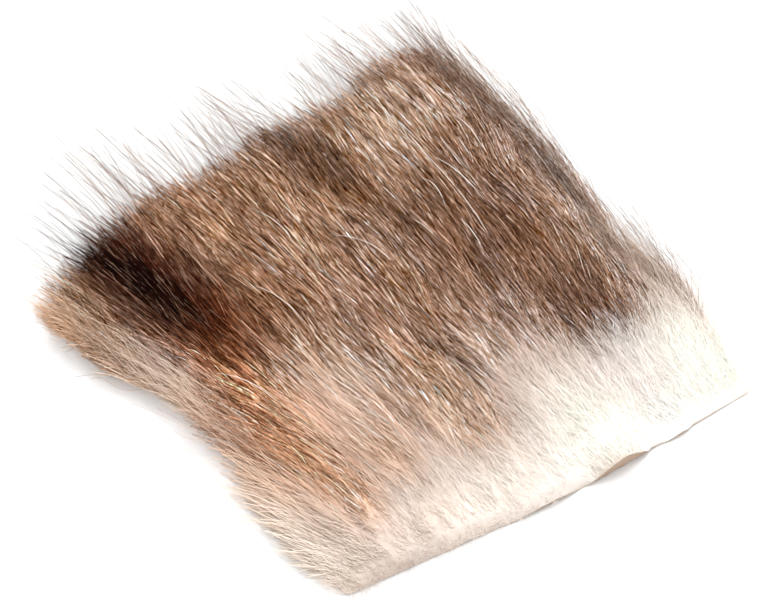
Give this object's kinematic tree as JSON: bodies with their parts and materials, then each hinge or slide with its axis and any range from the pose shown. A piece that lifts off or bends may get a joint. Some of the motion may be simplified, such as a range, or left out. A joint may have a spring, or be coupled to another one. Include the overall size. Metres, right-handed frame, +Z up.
{
  "type": "opossum skin",
  "caption": "Squarish patch of tanned opossum hide lying flat, fur side up: thin leather with a bare, gently waved cut edge under a deep coat that lies over away from it.",
  "frame": {"origin": "middle of the base of the whole skin with its fur, on the surface that it lies on", "axes": "+Z up out of the fur, +X along the bare cut edge, +Y away from that edge, the way the hair lies"},
  "size_m": [0.136, 0.1438, 0.0146],
  "materials": {
    "hide": "tanned, suede flesh side, cream edge",
    "fur": "brown, cream and near-black mottled fur"
  },
  "bodies": {
    "root": {"hide": "hide", "fur": "fur"}
  },
  "joints": []
}
